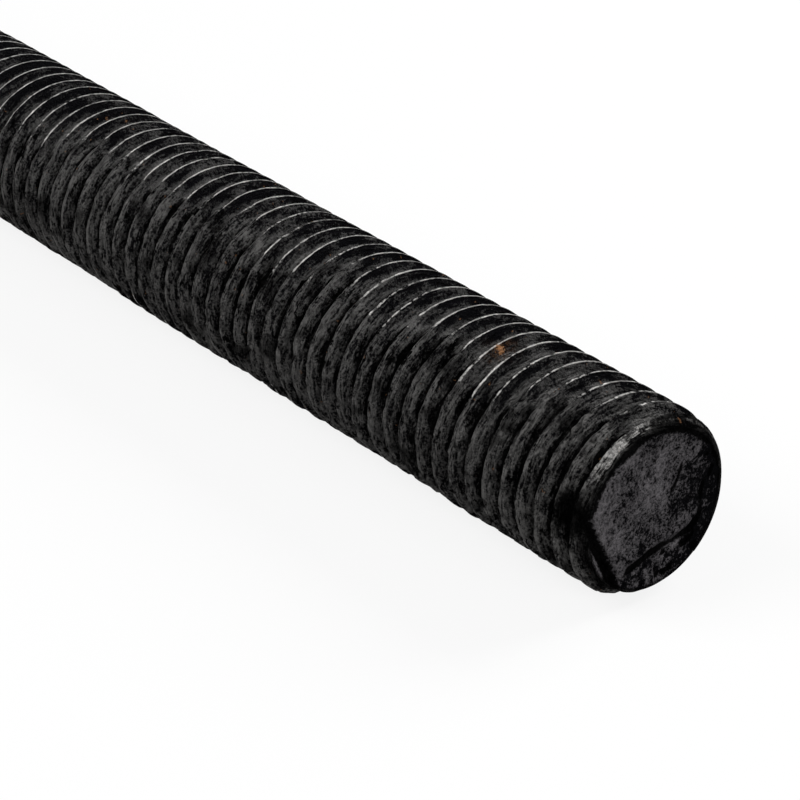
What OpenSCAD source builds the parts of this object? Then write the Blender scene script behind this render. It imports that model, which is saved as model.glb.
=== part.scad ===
// Threaded rod, one solid steel bar with a thread over its whole length

/* [Rod] */
// Length along the middle of the rod between the two sawn end faces
rod_len = 150; // [100:10:200]

/* [Thread] */
// Diameter over the thread crests
crest_d = 16; // [12:0.5:20]
// Distance along the rod from one crest to the next
pitch = 2; // [1.5:0.25:2.5]
// Angle between the two flanks of the thread
flank_angle = 60; // [50:1:70]
// Width of the flat on each crest, as a share of the pitch
crest_share = 0.125; // [0.1:0.005:0.2]
// Width of the flat in each groove, as a share of the pitch
root_share = 0.2; // [0.15:0.01:0.3]
// Turn of the thread about the rod, which sets where it runs out at the ends
start_turn = 135; // [0:5:355]
// Hand of the thread
hand = "left"; // [left, right]

/* [Ends] */
// How far the end chamfers cut in from the crests
chamfer_leg = 1.2; // [0.6:0.1:1.8]
// Angle of the end chamfers, measured from the face
chamfer_angle = 45; // [30:1:60]
// How far the finished end is sawn out of square
saw_tilt = 3; // [0:0.5:6]
// Where round the rod the saw set the finished end back most
saw_turn = 228; // [0:1:359]

/* [Hidden] */

// Heights of the sharp thread triangle and of the parts cut off its two tips
flank_slope = tan(flank_angle / 2);
sharp_h = pitch / 2 / flank_slope;
crest_cut = crest_share * pitch / 2 / flank_slope;
root_cut = root_share * pitch / 2 / flank_slope;

// Radii of the crests, of the groove bottoms and of the two sharp tips
crest_r = crest_d / 2;
tip_r = crest_r + crest_cut;
valley_r = tip_r - sharp_h;
root_r = valley_r + root_cut;

// Straight steps that make up one turn of the helix, fewer when there are many turns
spare_turns = 3;
turns = rod_len / pitch + spare_turns;
steps_per_turn = min(16, floor(1100 * pitch / rod_len));
step_count = ceil(turns * steps_per_turn);
step_angle = 360 / steps_per_turn;

// The steps are chords, so their corners stand a little outside the true helix
chord_gain = 2 / (1 + cos(step_angle / 2));
round_fn = 96;

// Flat face left inside the chamfers, and how far they run along the rod
face_r = crest_r - chamfer_leg;
chamfer_len = chamfer_leg * tan(chamfer_angle);

function helix_z(i) = pitch * (i / steps_per_turn - spare_turns / 2);
function helix_point(r, i, lift) = [
  r * chord_gain * cos(start_turn + i * step_angle),
  r * chord_gain * sin(start_turn + i * step_angle),
  helix_z(i) + lift
];

// Sharp-edged thread, longer than the rod by the spare turns
module sharp_thread() {
  n = step_count;
  m = n - steps_per_turn;
  crests = [for (i = [0 : n]) helix_point(tip_r, i, 0)];
  valleys = [for (i = [0 : m]) helix_point(valley_r, i, pitch / 2)];
  bottom_centre = [0, 0, helix_z(0)];
  top_centre = [0, 0, helix_z(n)];
  v0 = n + 1;
  cb = v0 + m + 1;
  ct = cb + 1;
  s = steps_per_turn;
  upper_flanks = [for (i = [0 : m - 1]) each [
    [i, v0 + i + 1, i + 1],
    [i, v0 + i, v0 + i + 1]
  ]];
  lower_flanks = [for (i = [0 : m - 1]) each [
    [v0 + i, s + i + 1, v0 + i + 1],
    [v0 + i, s + i, s + i + 1]
  ]];
  bottom_cap = concat(
    [for (i = [0 : s - 1]) [cb, i, i + 1]],
    [[cb, s, v0], [cb, v0, 0]]
  );
  top_cap = concat(
    [for (i = [m : n - 1]) [ct, i + 1, i]],
    [[ct, m, v0 + m], [ct, v0 + m, n]]
  );
  polyhedron(
    points = concat(crests, valleys, [bottom_centre, top_centre]),
    faces = concat(upper_flanks, lower_flanks, bottom_cap, top_cap),
    convexity = 10
  );
}

// Round bar under the thread
module core() {
  translate([0, 0, -pitch])
    cylinder(h = rod_len + 2 * pitch, r = root_r, $fn = round_fn);
}

// Round bar over the crests, square and chamfered at its far end only
module blank() {
  rotate_extrude($fn = round_fn)
    polygon([
      [0, 0],
      [face_r, 0],
      [crest_r, chamfer_len],
      [crest_r, rod_len + crest_r],
      [0, rod_len + crest_r]
    ]);
}

// Wide cone whose top is the finished end, and whose side is that end's chamfer
module finished_end() {
  cone_len = 1.2 * rod_len;
  translate([0, 0, rod_len])
    rotate([0, saw_tilt, saw_turn])
      translate([0, 0, -cone_len])
        cylinder(h = cone_len, r1 = face_r + cone_len / tan(chamfer_angle), r2 = face_r, $fn = round_fn);
}

// The thread winds right-hand as it is made, and a mirrored copy is left-hand
module threaded_bar() {
  intersection() {
    union() {
      sharp_thread();
      core();
    }
    blank();
  }
}

// The rod lies along X, with its finished end at the origin
module rod() {
  color([0.13, 0.13, 0.13])
    rotate([0, 90, 0])
      translate([0, 0, -rod_len])
        intersection() {
          mirror([0, hand == "left" ? 1 : 0, 0])
            threaded_bar();
          finished_end();
        }
}

rod();
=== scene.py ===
"""A threaded steel rod: the worn thread, its ends, their finish and a plain pale studio."""

import math

import bmesh
import bpy
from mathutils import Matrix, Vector, noise


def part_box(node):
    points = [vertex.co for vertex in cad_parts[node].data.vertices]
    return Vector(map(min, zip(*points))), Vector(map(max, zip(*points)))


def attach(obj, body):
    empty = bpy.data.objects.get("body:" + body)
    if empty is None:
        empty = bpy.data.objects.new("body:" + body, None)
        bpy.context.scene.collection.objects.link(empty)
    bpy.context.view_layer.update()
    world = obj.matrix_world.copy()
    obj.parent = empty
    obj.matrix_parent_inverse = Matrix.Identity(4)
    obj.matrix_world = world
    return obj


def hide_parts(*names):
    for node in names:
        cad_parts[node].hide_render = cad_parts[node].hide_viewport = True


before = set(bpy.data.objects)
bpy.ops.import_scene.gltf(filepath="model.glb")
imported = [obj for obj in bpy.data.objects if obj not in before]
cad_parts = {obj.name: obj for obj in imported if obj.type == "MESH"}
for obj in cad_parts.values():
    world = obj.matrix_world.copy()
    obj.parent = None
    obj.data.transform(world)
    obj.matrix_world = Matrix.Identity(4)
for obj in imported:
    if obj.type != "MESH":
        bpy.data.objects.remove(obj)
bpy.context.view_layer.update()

bl_info = {
    "name": "Threaded Rod",
    "version": (1, 0, 0),
    "blender": (4, 5, 0),
    "location": "View3D > Sidebar > Rod",
    "description": "Builds a worn threaded rod over its solid, with a plain studio",
    "category": "Object",
}

ROD_LOW, ROD_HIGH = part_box("rod")
MM = 0.001

# Numbers kept on the mesh's points for the finishes to read
MASKS = ("ridge", "rub", "grime", "scuff")

# Where the largest rust fleck and the blackest dirt lie, in millimetres
FLECK = (-16.46, -1.56, 7.60)
SOILED = (-1.9, -7.3, 1.6)

# Where round the rod the last crest is rubbed and carries a painted highlight
POLISH_HIGHLIGHT_TURN = math.radians(-152)

# The crease and the scratch on the near face, as y and z in millimetres
CREASE = (
    (4.97, 0.39), (4.65, -2.29), (3.63, -3.26), (1.75, -3.52), (-0.84, -3.95), (-2.58, -4.62),
)
SCRATCH = ((2.57, 2.98), (2.25, 1.9), (1.6, 0.95))

# Usual depths of the crease and the scratch, in millimetres
CREASE_DEPTH = 0.30
SCRATCH_DEPTH = 0.10

# Usual depth of the gap of the last groove, and a depth that it never reaches
NOTCH_DEPTH = 0.85 * MM
NOTCH_LIMIT = 1.2 * MM

# Direction that the far end faces
SQUARE_END = Vector((-1, 0, 0))

# Turns of thread past the rod's length, which the end cuts take off
SPARE_TURNS = 4

# Sine of the least turn about the rod that makes an edge a step of the thread
LEAST_TURN = 0.02

# Points closer than these are merged, or count as lying on a cut
MERGE_GAP = 0.001 * MM
END_GAP = 0.0005 * MM
FACE_GAP = 0.002 * MM

# Edges sharper than this stay sharp
SHARP_ANGLE = math.radians(38)

# A sawn face is divided by this many cuts to each side of a shifted middle, one cell apart
FACE_CUTS = 27
FACE_CELL = 0.25 * MM
FACE_SHIFT = 0.35

# Wear falls off from the near end over about this length, in millimetres
NEAR_LENGTH = 7

# Thread nearer to either end than this isn't worn, in millimetres
END_MARGIN = 0.3

# Turn over which the scuffed side fades out to each side of its edge
SCUFF_FADE = 0.22

# About how far the worn thread is roughened, and how far its crests drift along the rod
ROUGH_DEPTH = 0.05 * MM
CREST_DRIFT = 0.1 * MM

# Depth of the finishes' bump, and the step that moves noise off the origin
BUMP_DEPTH = 0.2 * MM
NOISE_STEP = (37.3, 61.7, 23.9)

# The background's colour, and the floor's half width, grey and share of white where it is seen
WHITE = (1.0, 1.0, 1.0)
FLOOR_HALF = 3.0
FLOOR_GREY = (0.7, 0.7, 0.7)
FLOOR_WHITE = 0.85

# Strength of the surround as a light
SURROUND_LIGHT = 0.30

# Name, place, size and power of each lamp, and the point that they all face
LAMPS = (
    ("side_light", (-0.30, -0.45, 0.50), 0.40, 3.7),
    ("back_light", (0.05, 0.55, 0.40), 0.35, 4.5),
    ("front_light", (0.60, -0.10, 0.30), 0.40, 2.2),
)
LAMP_AIM = Vector((-0.02, 0, 0))


class RodSizes(bpy.types.PropertyGroup):
    """Sizes of the thread and its ends."""

    pitch: bpy.props.FloatProperty(
        name="Pitch",
        description="Distance along the rod from one crest to the next",
        default=2.0 * MM, min=0.5 * MM, unit="LENGTH", precision=5,
    )
    crest_radius: bpy.props.FloatProperty(
        name="Crest radius",
        description="Radius over the thread crests",
        default=(ROD_HIGH.y - ROD_LOW.y) / 2, min=1 * MM, unit="LENGTH", precision=5,
    )
    flank_angle: bpy.props.FloatProperty(
        name="Flank angle",
        description="Angle between the two flanks of a groove",
        default=math.radians(60), unit="ROTATION",
    )
    crest_share: bpy.props.FloatProperty(
        name="Crest flat",
        description="Width of the flat on a crest, as a share of the pitch",
        default=0.125, min=0.02, max=0.4, subtype="FACTOR",
    )
    root_share: bpy.props.FloatProperty(
        name="Groove flat",
        description="Width of the flat in a groove, as a share of the pitch",
        default=0.2, min=0.02, max=0.4, subtype="FACTOR",
    )
    edge_share: bpy.props.FloatProperty(
        name="Edge rounding",
        description="Half width of the rounding on each thread corner, as a share of the pitch",
        default=0.016, min=0.0, max=0.05, subtype="FACTOR",
    )
    start_angle: bpy.props.FloatProperty(
        name="Start angle",
        description="Turn of the thread about the rod, which sets where it runs out at the ends",
        default=math.radians(135), unit="ROTATION",
    )
    left_hand: bpy.props.BoolProperty(
        name="Left hand",
        description="Winds the thread the left-hand way",
        default=True,
    )
    chamfer: bpy.props.FloatProperty(
        name="Chamfer",
        description="How far the end chamfers cut in from the crests",
        default=1.2 * MM, min=0.0, unit="LENGTH", precision=5,
    )
    saw_tilt: bpy.props.FloatProperty(
        name="Saw tilt",
        description="How far the near end is sawn out of square",
        default=math.radians(3), unit="ROTATION",
    )
    saw_turn: bpy.props.FloatProperty(
        name="Saw turn",
        description="Where round the rod the saw set the near end back most",
        default=math.radians(228), unit="ROTATION",
    )
    steps_per_turn: bpy.props.IntProperty(
        name="Steps per turn",
        description="Straight steps in one turn of the thread, before the near end is refined",
        default=48, min=16, max=256,
    )
    fine_length: bpy.props.FloatProperty(
        name="Fine length",
        description="How far from the near end the steps are split in two",
        default=62 * MM, min=0.0, unit="LENGTH", precision=5,
    )
    finest_length: bpy.props.FloatProperty(
        name="Finest length",
        description="How far from the near end the steps are split in two again",
        default=12 * MM, min=0.0, unit="LENGTH", precision=5,
    )
    wear_depth: bpy.props.FloatProperty(
        name="Wear depth",
        description="Usual wear on the thread crests",
        default=0.10 * MM, min=0.0, unit="LENGTH", precision=5,
    )
    nick_depth: bpy.props.FloatProperty(
        name="Nick depth",
        description="Depth of the nicks in the crests",
        default=0.22 * MM, min=0.0, unit="LENGTH", precision=5,
    )
    crust_depth: bpy.props.FloatProperty(
        name="Crust depth",
        description="Usual depth of the crust in the grooves",
        default=0.20 * MM, min=0.0, unit="LENGTH", precision=5,
    )
    scuff_turn: bpy.props.FloatProperty(
        name="Scuff turn",
        description="Where round the rod the middle of the scuffed side is",
        default=math.radians(-96), unit="ROTATION",
    )
    scuff_half: bpy.props.FloatProperty(
        name="Scuff half width",
        description="How far the scuffed side reaches to each side of its middle",
        default=math.radians(56), unit="ROTATION",
    )
    notch_turn: bpy.props.FloatProperty(
        name="Notch turn",
        description="Where round the near face the last groove runs out",
        default=math.radians(-66), unit="ROTATION",
    )
    notch_reach: bpy.props.FloatProperty(
        name="Notch reach",
        description="How far from the middle of the near face the gap of the last groove starts",
        default=5.45 * MM, min=0.0, unit="LENGTH", precision=5,
    )


class RodFinish(bpy.types.PropertyGroup):
    """Colours of the steel."""

    oxide: bpy.props.FloatVectorProperty(
        name="Black oxide", description="The darkened skin of the thread",
        default=(0.0030, 0.0030, 0.0034), size=3, min=0, max=1, subtype="COLOR",
    )
    # Rubbed steel, which also paints the highlights along the crests
    worn_and_highlight: bpy.props.FloatVectorProperty(
        name="Worn steel", description="Steel rubbed bright on the crests",
        default=(0.48, 0.47, 0.455), size=3, min=0, max=1, subtype="COLOR",
    )
    crust: bpy.props.FloatVectorProperty(
        name="Crust", description="The greyest steel, and the crust in the grooves",
        default=(0.088, 0.086, 0.084), size=3, min=0, max=1, subtype="COLOR",
    )
    # This colour also paints the shade in the grooves, the crease and the notch
    grime: bpy.props.FloatVectorProperty(
        name="Grime", description="Dirt in the grooves and pits",
        default=(0.0006, 0.0006, 0.0006), size=3, min=0, max=1, subtype="COLOR",
    )
    rust: bpy.props.FloatVectorProperty(
        name="Rust", description="Small specks of rust",
        default=(0.21, 0.105, 0.05), size=3, min=0, max=1, subtype="COLOR",
    )
    cut_face: bpy.props.FloatVectorProperty(
        name="Cut face", description="The dull grey of the sawn ends",
        default=(0.125, 0.118, 0.124), size=3, min=0, max=1, subtype="COLOR",
    )


class StudioSettings(bpy.types.PropertyGroup):
    """Where the camera stands, and what it looks at."""

    azimuth: bpy.props.FloatProperty(
        name="Azimuth", description="Turn of the camera about the rod",
        default=math.radians(50.07), unit="ROTATION",
    )
    elevation: bpy.props.FloatProperty(
        name="Elevation", description="Height of the camera as an angle",
        default=math.radians(30.38), unit="ROTATION",
    )
    distance: bpy.props.FloatProperty(
        name="Distance", description="Distance from the camera to the point it looks at",
        default=0.2328, min=0.05, unit="LENGTH",
    )
    target: bpy.props.FloatVectorProperty(
        name="Target", description="The point the camera looks at",
        default=(-0.02533, -0.00441, 0.0), size=3, subtype="TRANSLATION",
    )
    lens: bpy.props.FloatProperty(
        name="Lens", description="Focal length in millimetres", default=128.25, min=20,
    )


class Signal:
    """A shader value that Python's own operators work on."""

    def __init__(self, graph, socket):
        self.graph = graph
        self.socket = socket

    def __add__(self, other):
        return self.graph.math("ADD", self, other)

    def __radd__(self, other):
        return self.graph.math("ADD", other, self)

    def __sub__(self, other):
        return self.graph.math("SUBTRACT", self, other)

    def __rsub__(self, other):
        return self.graph.math("SUBTRACT", other, self)

    def __mul__(self, other):
        return self.graph.math("MULTIPLY", self, other)

    def __truediv__(self, other):
        return self.graph.math("DIVIDE", self, other)


class Graph:
    """The node tree of one material, or of the world."""

    def __init__(self, owner):
        self.owner = owner
        owner.use_nodes = True
        self.tree = owner.node_tree
        self.tree.nodes.clear()

    def node(self, kind, values=None, output=0, **settings):
        """Adds a node: its settings first, then the values or links of its sockets."""
        made = self.tree.nodes.new(kind)
        for key, value in settings.items():
            setattr(made, key, value)
        for key, value in (values or {}).items():
            socket = made.inputs[key]
            if isinstance(value, Signal):
                self.tree.links.new(value.socket, socket)
            elif isinstance(value, (tuple, list)) and len(value) < len(socket.default_value):
                socket.default_value = (*value, 1.0)
            else:
                socket.default_value = value
        return Signal(self, made.outputs[output]) if made.outputs else made

    def math(self, operation, *values):
        """One step of arithmetic."""
        return self.node("ShaderNodeMath", dict(enumerate(values)), operation=operation)

    def largest(self, first, *others):
        """The largest of some values."""
        for other in others:
            first = self.math("MAXIMUM", first, other)
        return first

    def clamp_range(self, value, low, high):
        """0 at low, 1 at high, and a soft rise between them."""
        return self.node(
            "ShaderNodeMapRange",
            {"Value": value, "From Min": low, "From Max": high},
            interpolation_type="SMOOTHSTEP",
        )

    def blend(self, share, first, second):
        """A mix of two colours."""
        return self.node(
            "ShaderNodeMix",
            {0: share, 6: first, 7: second},
            output=2, data_type="RGBA", clamp_factor=True,
        )

    def vector(self, x, y, z):
        """A place from its three coordinates."""
        return self.node("ShaderNodeCombineXYZ", {0: x, 1: y, 2: z})

    def speckle(self, place, scale, detail, rough):
        """Soft random values about one half, moved off the origin, where noise has a star."""
        moved = self.node("ShaderNodeVectorMath", {0: place, 1: NOISE_STEP}, operation="ADD")
        return self.node(
            "ShaderNodeTexNoise",
            {"Vector": moved, "Scale": scale, "Detail": detail, "Roughness": rough},
        )

    def vector_gap(self, place, point):
        """How far a place is from a point."""
        return self.node(
            "ShaderNodeVectorMath", {0: place, 1: point}, output=1, operation="DISTANCE"
        )

    def attribute(self, name):
        """A number kept on the mesh's points."""
        return self.node("ShaderNodeAttribute", output=2, attribute_name=name)

    def millimetres(self):
        """Object coordinates in millimetres, whole and as x, y and z."""
        place = self.node("ShaderNodeTexCoord", output=3)
        scaled = self.node(
            "ShaderNodeVectorMath", {0: place, 1: (1 / MM, 1 / MM, 1 / MM)}, operation="MULTIPLY"
        )
        split = self.node("ShaderNodeSeparateXYZ", {0: scaled}).socket.node
        return scaled, [Signal(self, out) for out in split.outputs]

    def finish(self, colour, metallic, roughness, height):
        """The steel's surface, which shines as metal and has no clear gloss over it."""
        bump = self.node(
            "ShaderNodeBump", {"Height": height, "Distance": BUMP_DEPTH, "Strength": 1.0}
        )
        surface = self.node(
            "ShaderNodeBsdfPrincipled",
            {
                "Base Color": colour, "Metallic": metallic, "Roughness": roughness,
                "Normal": bump, "Specular IOR Level": 0.0, "Specular Tint": (0.4, 0.4, 0.4),
            },
        )
        self.node("ShaderNodeOutputMaterial", {"Surface": surface})
        return self.owner

    def background_rays(self):
        """1 for the rays that show the background, and 0 for those that only carry light."""
        rays = self.node("ShaderNodeLightPath").socket.node
        names = ("Is Camera Ray", "Is Glossy Ray", "Is Transmission Ray")
        camera, glossy, transmitted = (Signal(self, rays.outputs[name]) for name in names)
        return camera + glossy + transmitted


def thread_finish(finish):
    """Blackened thread with thin bright crests of rubbed steel and painted highlight, painted
    shade under the crests, a scuffed side, grooves darkened by dirt and painted shadow, and a rust
    fleck.
    """
    g = Graph(bpy.data.materials.new("blackened_thread"))
    place, (x, y, z) = g.millimetres()
    ridge, rub, grime, scuff = (g.attribute(name) for name in MASKS)
    # Streaks and dirt that follow the thread
    streaks = g.speckle(g.vector(ridge * 4.0 - x * 0.8, y * 0.6, z * 0.6), 1.0, 2.0, 0.75)
    streaks = g.clamp_range(streaks, 0.38, 0.62)
    drawn = g.vector(ridge * 1.5 - x * 0.9, y * 0.35, z * 0.35)
    blotches = g.speckle(drawn, 1.0, 5.0, 0.7)
    patches = g.speckle(place, 0.25, 4.0, 0.6)
    crumbs = g.speckle(place, 2.4, 4.0, 0.7)
    grain = g.clamp_range(g.speckle(place, 4.6, 2.0, 0.75), 0.38, 0.62)
    ragged = (blotches - 0.5) * 1.6 + (crumbs - 0.5) * 0.9
    # Painted shadow: black gaps in the grooves, which are wide and ragged on the scuffed side
    depth = ridge + ragged * (0.15 + scuff * 0.6)
    gap_shade = g.clamp_range(depth, 0.05 + scuff * 0.40, scuff * 0.24 - 0.1)
    pits = g.clamp_range(blotches * 0.75 + crumbs * 0.25, 0.44, 0.40)
    pits = pits * g.clamp_range(scuff, -0.1, 0.7)
    soiled = g.vector_gap(place, SOILED) + ragged * 1.6
    soiled = g.clamp_range(soiled, 2.6, 1.4)
    # Dirt over most of the near chamfer
    end_dirt = g.clamp_range(x + ragged * 0.9, -1.3, -0.7) * 0.9
    dirt_and_shade = g.largest(pits, grime, gap_shade, soiled, end_dirt)
    # Thin bright lines on the crests: partly rubbed steel, partly a painted highlight
    crest = g.clamp_range(ridge + (crumbs - 0.5) * 0.26 + (patches - 0.5) * 0.12, 0.89, 0.97)
    glint = crest * g.clamp_range(rub - scuff * 0.55 + (crumbs - 0.5) * 2.8, 0.0, 0.5)
    glint = glint * (0.36 + grain * 0.35 + streaks * 0.3)
    # The last crest is rubbed broad and bright beside the upper edge of the near face: partly
    # wear, partly a painted highlight
    toward = y * math.sin(POLISH_HIGHLIGHT_TURN) - z * math.cos(POLISH_HIGHLIGHT_TURN)
    toward = toward / g.math("SQRT", y * y + z * z)
    polish_and_highlight = g.clamp_range(toward, 0.84, 0.985)
    polish_and_highlight = polish_and_highlight * g.clamp_range(x, -1.50, -1.15) * g.clamp_range(x, -0.35, -0.75)
    polish_and_highlight = polish_and_highlight * g.clamp_range(streaks * 0.3 + crumbs * 0.7, 0.35, 0.65)
    glint = g.largest(glint, polish_and_highlight * (0.10 + grain * 0.40))
    dirt_and_shade = dirt_and_shade * (1.0 - polish_and_highlight)
    # Painted shade: the clean side is blackest close under each crest
    shade = g.clamp_range(ridge + ragged * 0.25, 0.22, 0.60)
    skin = 0.46 + grain * 0.26 + streaks * 0.30 + (patches - 0.5) * 1.8 - shade * 0.80
    # The scuffed side is brushed the way that the thread runs
    fibres = g.speckle(g.vector(ridge * 9.0 - x * 1.6, y * 1.1, z * 1.1), 1.0, 1.0, 0.7)
    scurf = grain * 0.62 + streaks * 0.66 + g.clamp_range(fibres, 0.36, 0.64) * 0.45
    scurf = scurf + (patches - 0.5) * 1.2 + (ridge - 0.6) * 0.40 - 0.38
    tone = skin * (1.0 - scuff) + scurf * scuff
    colour = g.blend(tone, tuple(finish.oxide), tuple(finish.crust))
    colour = g.blend(glint, colour, tuple(finish.worn_and_highlight))
    # Dirt, and the painted shadow in the grooves, darken towards the grime colour
    colour = g.blend(dirt_and_shade * 0.96, colour, tuple(finish.grime))
    # One rust fleck with a warm stain about it, and a few specks
    fleck = g.vector_gap(place, FLECK) + (crumbs - 0.5) * 1.7
    warm = g.clamp_range(fleck, 2.4, 0.5) * g.clamp_range(crumbs, 0.45, 0.6) * 0.12
    rust = g.clamp_range(g.speckle(place, 1.7, 2.0, 0.5), 0.735, 0.76) * 0.35
    rust = g.largest(g.clamp_range(fleck, 0.40, 0.30), rust, warm)
    colour = g.blend(rust, colour, tuple(finish.rust))
    metallic = 0.92 - dirt_and_shade * 0.80 - rust * 0.3
    roughness = 0.38 + grain * 0.12 + scuff * 0.10 - glint * 0.08
    height = streaks * 0.3 + grain * 0.25 + crumbs * (0.3 + scuff) - dirt_and_shade * scuff * 0.4
    return g.finish(colour, metallic, roughness, height)


def face_finish(finish, sizes):
    """Dull grey sawn face, clouded and lightly pitted, with a crease darkened by dirt and painted
    shade, a dirty lip and rim, and painted shade in the gap.
    """
    g = Graph(bpy.data.materials.new("sawn_face"))
    place, (x, y, z) = g.millimetres()
    grime, lip = g.attribute("grime"), g.attribute("scuff")
    clouds = g.speckle(place, 0.33, 5.0, 0.6)
    mottle = g.speckle(place, 1.6, 5.0, 0.7)
    crumbs = g.speckle(place, 3.0, 4.0, 0.7)
    grain = g.clamp_range(g.speckle(place, 5.0, 2.0, 0.75), 0.38, 0.62)
    ragged = (mottle - 0.5) * 1.5 + (crumbs - 0.5) * 1.2
    radius = g.math("SQRT", y * y + z * z)
    # The dirty rim is widest at the top
    rim = radius + ragged * 0.6 + (clouds - 0.5) * 1.5 + z * 0.03
    rim = g.clamp_range(rim, 6.45, 6.65)
    # Painted shade in the gap where the last groove runs out through the edge of the near face
    reach = sizes.notch_reach / MM
    out = y * math.sin(sizes.notch_turn) - z * math.cos(sizes.notch_turn) + ragged * 0.35
    gap_shade = g.clamp_range(out, reach - 0.12, reach + 0.08)
    gap_shade = gap_shade * g.clamp_range(out, reach + 1.15, reach + 0.85)
    gap_shade = gap_shade * g.clamp_range(x, -3.0, -2.0)
    # The crease is darkened by dirt and by painted shade
    crease = g.clamp_range(grime + ragged * 0.40, 0.24, 0.52)
    pits = g.clamp_range(mottle * 0.5 + crumbs * 0.5, 0.40, 0.35)
    tone = clouds * 1.9 + mottle * 1.3 + grain * 0.42 + (crumbs - 0.5) * 1.3 - y * 0.05 - 1.56
    tone = tone - lip * g.clamp_range(mottle, 0.58, 0.42) * 0.4
    colour = g.blend(tone, tuple(finish.oxide), tuple(finish.cut_face))
    dirt_and_shade = g.largest(pits * 0.8, crease, rim, gap_shade)
    colour = g.blend(dirt_and_shade * 0.97, colour, tuple(finish.grime))
    height = grain * 0.25 + mottle * (0.5 + lip * 1.5) + crumbs * 0.5 - dirt_and_shade * 0.4
    return g.finish(colour, 0.85 - dirt_and_shade * 0.75, 0.52 + grain * 0.10, height)


def section_points(sizes):
    """Axial place and radius of the points along one pitch, from crest to crest."""
    p = sizes.pitch
    slope = math.tan(sizes.flank_angle / 2)
    top = sizes.crest_radius
    half_crest = sizes.crest_share / 2
    half_root = sizes.root_share / 2
    run = 0.5 - half_crest - half_root
    depth = run * p / slope
    edge = sizes.edge_share
    half = [
        (0.0, top),
        (half_crest - edge, top),
        (half_crest + edge, top - edge * p / slope),
        (half_crest + run / 3, top - depth / 3),
        (half_crest + run * 2 / 3, top - depth * 2 / 3),
        (0.5 - half_root - edge, top - depth + edge * p / slope),
        (0.5 - half_root + edge, top - depth),
        (0.5, top - depth),
    ]
    back = [(1.0 - place, radius) for place, radius in reversed(half[:-1])]
    return [(place * p, radius) for place, radius in half + back]


def wind_thread(bm, sizes, layers):
    """Spins one pitch of the section into a turn and repeats it along the rod."""
    p = sizes.pitch
    steps = sizes.steps_per_turn
    rise = -p if sizes.left_hand else p
    section = [bm.verts.new((x, 0, -radius)) for x, radius in section_points(sizes)]
    for vert in section:
        vert[layers["ridge"]] = abs(1 - 2 * vert.co.x / p)
    lines = [bm.edges.new(pair) for pair in zip(section, section[1:])]
    bmesh.ops.spin(
        bm, geom=section + lines, cent=(0, 0, 0), axis=(1, 0, 0),
        dvec=(rise / steps, 0, 0), angle=2 * math.pi, steps=steps, use_merge=False,
    )
    turn = bm.verts[:] + bm.edges[:] + bm.faces[:]
    rod_len = ROD_HIGH.x - ROD_LOW.x
    count = math.ceil(rod_len / p) + SPARE_TURNS
    for index in range(1, count):
        copy = bmesh.ops.duplicate(bm, geom=turn)["geom"]
        moved = [item for item in copy if isinstance(item, bmesh.types.BMVert)]
        bmesh.ops.translate(bm, verts=moved, vec=(index * p, 0, 0))
    bmesh.ops.remove_doubles(bm, verts=bm.verts, dist=MERGE_GAP)
    first_crest = ROD_LOW.x + (0.5 - sizes.start_angle / (2 * math.pi)) * p
    bmesh.ops.translate(bm, verts=bm.verts, vec=(first_crest - SPARE_TURNS / 2 * p, 0, 0))


def split_steps(bm, place, steps):
    """Splits each step of the thread in two, from a place on to the near end."""
    along = []
    for edge in bm.edges:
        first, second = (vert.co for vert in edge.verts)
        turned = abs(first.y * second.z - first.z * second.y)
        least = first.yz.length * second.yz.length * LEAST_TURN
        if min(first.x, second.x) > place and turned > least:
            along.append(edge)
    old = set(bm.verts)
    bmesh.ops.subdivide_edges(bm, edges=along, cuts=1)
    lift = 1 / math.cos(math.pi / steps)
    for vert in bm.verts:
        if vert not in old:
            vert.co.y *= lift
            vert.co.z *= lift


def ripple(spot, scale, seed):
    """Smooth noise from -1 to 1 with bumps about 1/scale millimetres apart."""
    return noise.noise(spot * scale + Vector((seed, seed * 1.7, seed * 0.3)))


def ease(value, low, high):
    """0 at low, 1 at high, and a soft rise between them."""
    share = min(1.0, max(0.0, (value - low) / (high - low)))
    return share * share * (3 - 2 * share)


def scuff_share(spot, turned, near, sizes):
    """How scuffed a point is, from 0 to 1: most on one side of the rod and near the saw cut."""
    off = abs(math.remainder(turned - sizes.scuff_turn, 2 * math.pi))
    edge = off + 0.45 * ripple(spot, 0.13, 3) + 0.25 * ripple(spot, 0.7, 7) - 0.2 * near
    side = 1 - ease(edge, sizes.scuff_half - SCUFF_FADE, sizes.scuff_half + SCUFF_FADE)
    return max(side, 0.25 * ease(ripple(spot, 0.09, 13), 0.35, 0.6), 0.55 * near)


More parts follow.
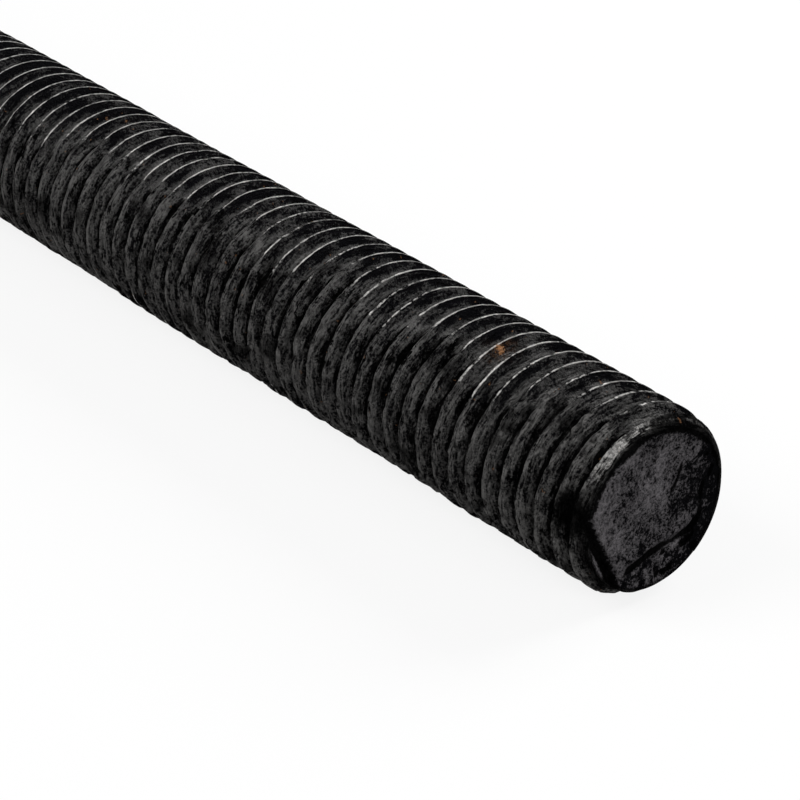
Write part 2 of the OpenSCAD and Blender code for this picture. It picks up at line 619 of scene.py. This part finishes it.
def weather_thread(bm, sizes, layers):
    """Rubs and nicks the crests and roughens flanks and grooves, most of all near the saw cut."""
    depth = sizes.pitch * (0.5 - (sizes.crest_share + sizes.root_share) / 2)
    depth /= math.tan(sizes.flank_angle / 2)
    rod_top = sizes.crest_radius
    for vert in bm.verts:
        # Height is 0 in a groove and 1 on a crest, and near is 1 at the near end and falls off
        radius = vert.co.yz.length
        height = 1 - (rod_top - radius) / depth
        spot = vert.co / MM
        near = math.exp(spot.x / NEAR_LENGTH)
        turned = math.atan2(vert.co.y, -vert.co.z)
        scuffed = scuff_share(spot, turned, near, sizes)
        # The crests are rubbed and nicked, and crust fills the grooves of the scuffed side
        rub = max(0.0, 0.75 + 0.5 * ripple(spot, 0.22, 11) + 0.35 * ripple(spot, 0.8, 23))
        nick = ease(ripple(spot, 1.1, 37) + 0.5 * ripple(spot, 2.7, 41), 0.15, 0.6)
        cut = sizes.wear_depth * (0.25 * rub + 1.4 * scuffed + 0.6 * near)
        cut += sizes.nick_depth * nick * (0.12 + 0.9 * scuffed)
        fill = sizes.crust_depth * scuffed * (1 - ease(height, 0.0, 0.6))
        crust = ripple(spot, 0.8, 53) + 0.8 * ripple(spot, 2.0, 59)
        fill *= max(0.0, 0.6 + 1.2 * crust)
        rough = ROUGH_DEPTH * crust * (0.15 + scuffed) * ease(-spot.x, END_MARGIN, 1.2)
        wanted = min(radius + fill + rough, rod_top - cut)
        if -spot.x > END_MARGIN and vert.co.x - ROD_LOW.x > END_MARGIN * MM:
            vert.co.y *= wanted / radius
            vert.co.z *= wanted / radius
            drift = ripple(spot, 0.5, 61) + 0.7 * ripple(spot, 1.4, 67)
            drift = drift * (0.2 + 2.0 * scuffed) * height
            drift *= ease(-spot.x, 0.6, 2.0) * ease((vert.co.x - ROD_LOW.x) / MM, 0.6, 2.0)
            vert.co.x += CREST_DRIFT * drift
        # The masks tell the finish where the wear is
        rub *= (1 - 0.8 * scuffed) * (1 - 0.6 * nick)
        vert[layers["rub"]] = min(1.0, rub)
        patch = ease(ripple(spot, 0.35, 71) + 0.5 * ripple(spot, 1.2, 73), 0.25, 0.55)
        vert[layers["grime"]] = max(nick * 0.6 * scuffed, patch * scuffed * 0.8)
        vert[layers["scuff"]] = scuffed


def cut_notch(bm, sizes, outward, layers):
    """Drops the place where the last groove runs out through the edge of the near face."""
    side = Vector((0, math.sin(sizes.notch_turn), -math.cos(sizes.notch_turn)))
    for vert in bm.verts:
        inward = -vert.co.dot(outward)
        if inward > NOTCH_LIMIT:
            continue
        spot = vert.co / MM
        beyond = (vert.co.dot(side) - sizes.notch_reach) / MM + 0.25 * ripple(spot, 0.7, 5)
        floor = NOTCH_DEPTH * ease(beyond, -0.08, 0.22) * (1 - ease(beyond, 0.5, 1.0))
        floor *= 0.9 + 0.35 * ripple(spot, 1.5, 7)
        if floor > inward:
            vert.co -= outward * (floor - inward)
            # Painted shade: darker the deeper the notch floor lies
            grime = ease(floor / MM, 0.05, 0.3)
            vert[layers["grime"]] = max(vert[layers["grime"]], grime)


def line_distance(spot, line):
    """How far a point of the near face lies from a line, and how much further out it is."""
    best = (1e9, 0.0)
    for start, end in zip(line, line[1:]):
        first = Vector(start)
        arm = Vector(end) - first
        here = Vector((spot.y, spot.z))
        share = min(1.0, max(0.0, (here - first).dot(arm) / arm.length_squared))
        nearest = first + arm * share
        best = min(best, ((here - nearest).length, here.length - nearest.length))
    return best


def divide_face(bm, cap):
    """Divides a sawn face into a fine grid with its own material, and returns its points."""
    region = [cap]
    for axis in (Vector((0, 1, 0)), Vector((0, 0, 1))):
        for step in range(-FACE_CUTS, FACE_CUTS + 1):
            geom = set(region)
            for face in region:
                geom.update(face.edges)
                geom.update(face.verts)
            cut = bmesh.ops.bisect_plane(
                bm, geom=list(geom), dist=FACE_GAP,
                plane_co=axis * (step + FACE_SHIFT) * FACE_CELL, plane_no=axis,
            )["geom"]
            region = [item for item in cut if isinstance(item, bmesh.types.BMFace)]
    for face in region:
        face.material_index = 1
    return {vert for face in region for vert in face.verts}


def work_face(bm, cap, outward, layers, marked):
    """Gives a sawn face its waves, and a marked one its crease, its scratch and its broken lip."""
    for vert in divide_face(bm, cap):
        spot = vert.co / MM
        edge = ease(spot.yz.length, 6.0, 6.75)
        sunk = 0.03 + 0.03 * ripple(spot, 0.45, 2) + 0.02 * ripple(spot, 1.6, 4)
        sunk += edge * 0.05 * max(0.0, 0.4 + ripple(spot, 1.1, 6))
        dirt_and_shade = ease(ripple(spot, 0.8, 8) + 0.5 * ripple(spot, 2.4, 9), 0.45, 0.75) * 0.5
        if marked:
            scratch = math.exp(-(line_distance(spot, SCRATCH)[0] / 0.25) ** 2)
            away, outside = line_distance(spot, CREASE)
            width = 0.42 + 0.2 * ripple(spot, 0.7, 12)
            crease = math.exp(-(away / width) ** 2) * (0.75 + 0.5 * ripple(spot, 0.5, 14))
            lip = ease(outside, -0.1, 0.7) * (1 - ease(away, 2.2, 3.4))
            broken = lip * (0.16 + 0.14 * ripple(spot, 1.3, 16))
            sunk += CREASE_DEPTH * crease + SCRATCH_DEPTH * scratch + broken
            lip_dirt = 0.7 * lip * ease(ripple(spot, 1.0, 18), 0.15, 0.5)
            # The crease is darkened by dirt and by painted shade
            dirt_and_shade = max(dirt_and_shade, crease * 1.1, scratch * 0.6, lip_dirt)
            vert[layers["scuff"]] = lip
        vert.co -= outward * max(0.0, sunk) * MM
        vert[layers["grime"]] = min(1.0, max(0.0, dirt_and_shade))
        vert[layers["rub"]] = 0.0


def cut_end(bm, place, outward):
    """Cuts the rod at one end along a plane and closes it with a flat face."""
    cut = bmesh.ops.bisect_plane(
        bm, geom=bm.verts[:] + bm.edges[:] + bm.faces[:], dist=END_GAP,
        plane_co=(place, 0, 0), plane_no=outward, clear_outer=True,
    )["geom_cut"]
    rim = [item for item in cut if isinstance(item, bmesh.types.BMEdge)]
    return bmesh.ops.contextual_create(bm, geom=rim)["faces"][0]


def near_normal(sizes):
    """Direction that the near end faces."""
    back = Vector((0, math.sin(sizes.saw_turn), -math.cos(sizes.saw_turn)))
    return Vector((math.cos(sizes.saw_tilt), 0, 0)) + back * math.sin(sizes.saw_tilt)


def limit_end(bm, sizes, place, outward):
    """Turns one end down to its chamfer, a cone about the direction it faces."""
    centre = Vector((place, 0, 0))
    for vert in bm.verts:
        arm = vert.co - centre
        inward = -arm.dot(outward)
        if inward > sizes.chamfer * 2:
            continue
        across = arm + outward * inward
        allowed = sizes.crest_radius - sizes.chamfer + inward
        if across.length > allowed:
            vert.co -= across * (1 - allowed / across.length)


class ROD_OT_build_thread(bpy.types.Operator):
    """Builds the threaded rod with its worn crests and sawn ends."""

    bl_idname = "rod.build_thread"
    bl_label = "Build Threaded Rod"

    def execute(self, context):
        sizes = context.scene.rod_sizes
        finish = context.scene.rod_finish
        bm = bmesh.new()
        layers = {name: bm.verts.layers.float.new(name) for name in MASKS}
        wind_thread(bm, sizes, layers)
        steps = sizes.steps_per_turn
        split_steps(bm, ROD_HIGH.x - sizes.fine_length, steps)
        split_steps(bm, ROD_HIGH.x - sizes.finest_length, steps * 2)
        near_out = near_normal(sizes)
        near = cut_end(bm, 0.0, near_out)
        far = cut_end(bm, ROD_LOW.x, SQUARE_END)
        limit_end(bm, sizes, 0.0, near_out)
        limit_end(bm, sizes, ROD_LOW.x, SQUARE_END)
        weather_thread(bm, sizes, layers)
        work_face(bm, near, near_out, layers, marked=True)
        work_face(bm, far, SQUARE_END, layers, marked=False)
        cut_notch(bm, sizes, near_out, layers)
        bmesh.ops.recalc_face_normals(bm, faces=bm.faces)
        for face in bm.faces:
            face.smooth = True
        for edge in bm.edges:
            edge.smooth = edge.calc_face_angle(0.0) < SHARP_ANGLE
        mesh = bpy.data.meshes.new("threaded_rod")
        bm.to_mesh(mesh)
        bm.free()
        mesh.materials.append(thread_finish(finish))
        mesh.materials.append(face_finish(finish, sizes))
        rod = bpy.data.objects.new("threaded_rod", mesh)
        context.scene.collection.objects.link(rod)
        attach(rod, "root")
        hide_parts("rod")
        return {"FINISHED"}


class ROD_OT_build_studio(bpy.types.Operator):
    """Builds the floor, the lights and the camera."""

    bl_idname = "rod.build_studio"
    bl_label = "Build Studio"

    def execute(self, context):
        settings = context.scene.rod_studio
        add_floor(context)
        add_lights(context)
        add_camera(context, settings)
        context.scene.view_settings.view_transform = "Standard"
        return {"FINISHED"}


def add_floor(context):
    """A wide pale floor, white where it is seen but for the rod's shadow."""
    bm = bmesh.new()
    bmesh.ops.create_grid(bm, x_segments=1, y_segments=1, size=FLOOR_HALF)
    bmesh.ops.translate(bm, verts=bm.verts, vec=(0, 0, ROD_LOW.z))
    mesh = bpy.data.meshes.new("floor")
    bm.to_mesh(mesh)
    bm.free()
    g = Graph(bpy.data.materials.new("pale_floor"))
    matt = g.node("ShaderNodeBsdfDiffuse", {"Color": FLOOR_GREY})
    white = g.node("ShaderNodeEmission", {"Color": WHITE, "Strength": 1.0})
    share = g.background_rays() * FLOOR_WHITE
    both = g.node("ShaderNodeMixShader", {0: share, 1: matt, 2: white})
    g.node("ShaderNodeOutputMaterial", {"Surface": both})
    mesh.materials.append(g.owner)
    floor = bpy.data.objects.new("floor", mesh)
    context.scene.collection.objects.link(floor)


def add_lights(context):
    """Soft lamps at the side, the back and the front, and an even surround."""
    for name, place, size, power in LAMPS:
        lamp = bpy.data.lights.new(name, "AREA")
        lamp.size = size
        lamp.energy = power
        holder = bpy.data.objects.new(name, lamp)
        holder.location = place
        aim = LAMP_AIM - holder.location
        holder.rotation_euler = aim.to_track_quat("-Z", "Y").to_euler()
        context.scene.collection.objects.link(holder)
    world = bpy.data.worlds.new("surround")
    context.scene.world = world
    g = Graph(world)
    dim = g.node("ShaderNodeBackground", {"Color": WHITE, "Strength": SURROUND_LIGHT})
    white = g.node("ShaderNodeBackground", {"Color": WHITE, "Strength": 1.0})
    both = g.node("ShaderNodeMixShader", {0: g.background_rays(), 1: dim, 2: white})
    g.node("ShaderNodeOutputWorld", {"Surface": both})


def add_camera(context, settings):
    """A camera that looks down on the rod from its near end."""
    level = math.cos(settings.elevation)
    forward = Vector((
        -math.sin(settings.azimuth) * level,
        math.cos(settings.azimuth) * level,
        -math.sin(settings.elevation),
    ))
    data = bpy.data.cameras.new("camera")
    data.lens = settings.lens
    data.clip_start = 0.01
    camera = bpy.data.objects.new("camera", data)
    camera.location = Vector(settings.target) - forward * settings.distance
    camera.rotation_euler = forward.to_track_quat("-Z", "Y").to_euler()
    context.scene.collection.objects.link(camera)
    context.scene.camera = camera


class ROD_PT_panel(bpy.types.Panel):
    """Lists the settings of the rod, its finish and the studio, and the operators."""

    bl_idname = "ROD_PT_panel"
    bl_label = "Threaded Rod"
    bl_space_type = "VIEW_3D"
    bl_region_type = "UI"
    bl_category = "Rod"

    def draw(self, context):
        layout = self.layout
        for group in (context.scene.rod_sizes, context.scene.rod_finish, context.scene.rod_studio):
            box = layout.box()
            for name in group.__annotations__:
                box.prop(group, name)
        layout.operator(ROD_OT_build_thread.bl_idname)
        layout.operator(ROD_OT_build_studio.bl_idname)


CLASSES = (
    RodSizes, RodFinish, StudioSettings,
    ROD_OT_build_thread, ROD_OT_build_studio, ROD_PT_panel,
)


def register():
    """Registers the classes and gives each scene their settings."""
    for cls in CLASSES:
        bpy.utils.register_class(cls)
    bpy.types.Scene.rod_sizes = bpy.props.PointerProperty(type=RodSizes)
    bpy.types.Scene.rod_finish = bpy.props.PointerProperty(type=RodFinish)
    bpy.types.Scene.rod_studio = bpy.props.PointerProperty(type=StudioSettings)


def unregister():
    """Takes the settings and the classes away again."""
    del bpy.types.Scene.rod_studio
    del bpy.types.Scene.rod_finish
    del bpy.types.Scene.rod_sizes
    for cls in reversed(CLASSES):
        bpy.utils.unregister_class(cls)


def main():
    """Builds the rod and its studio."""
    register()
    bpy.ops.rod.build_thread()
    bpy.ops.rod.build_studio()


if __name__ == "__main__":
    main()
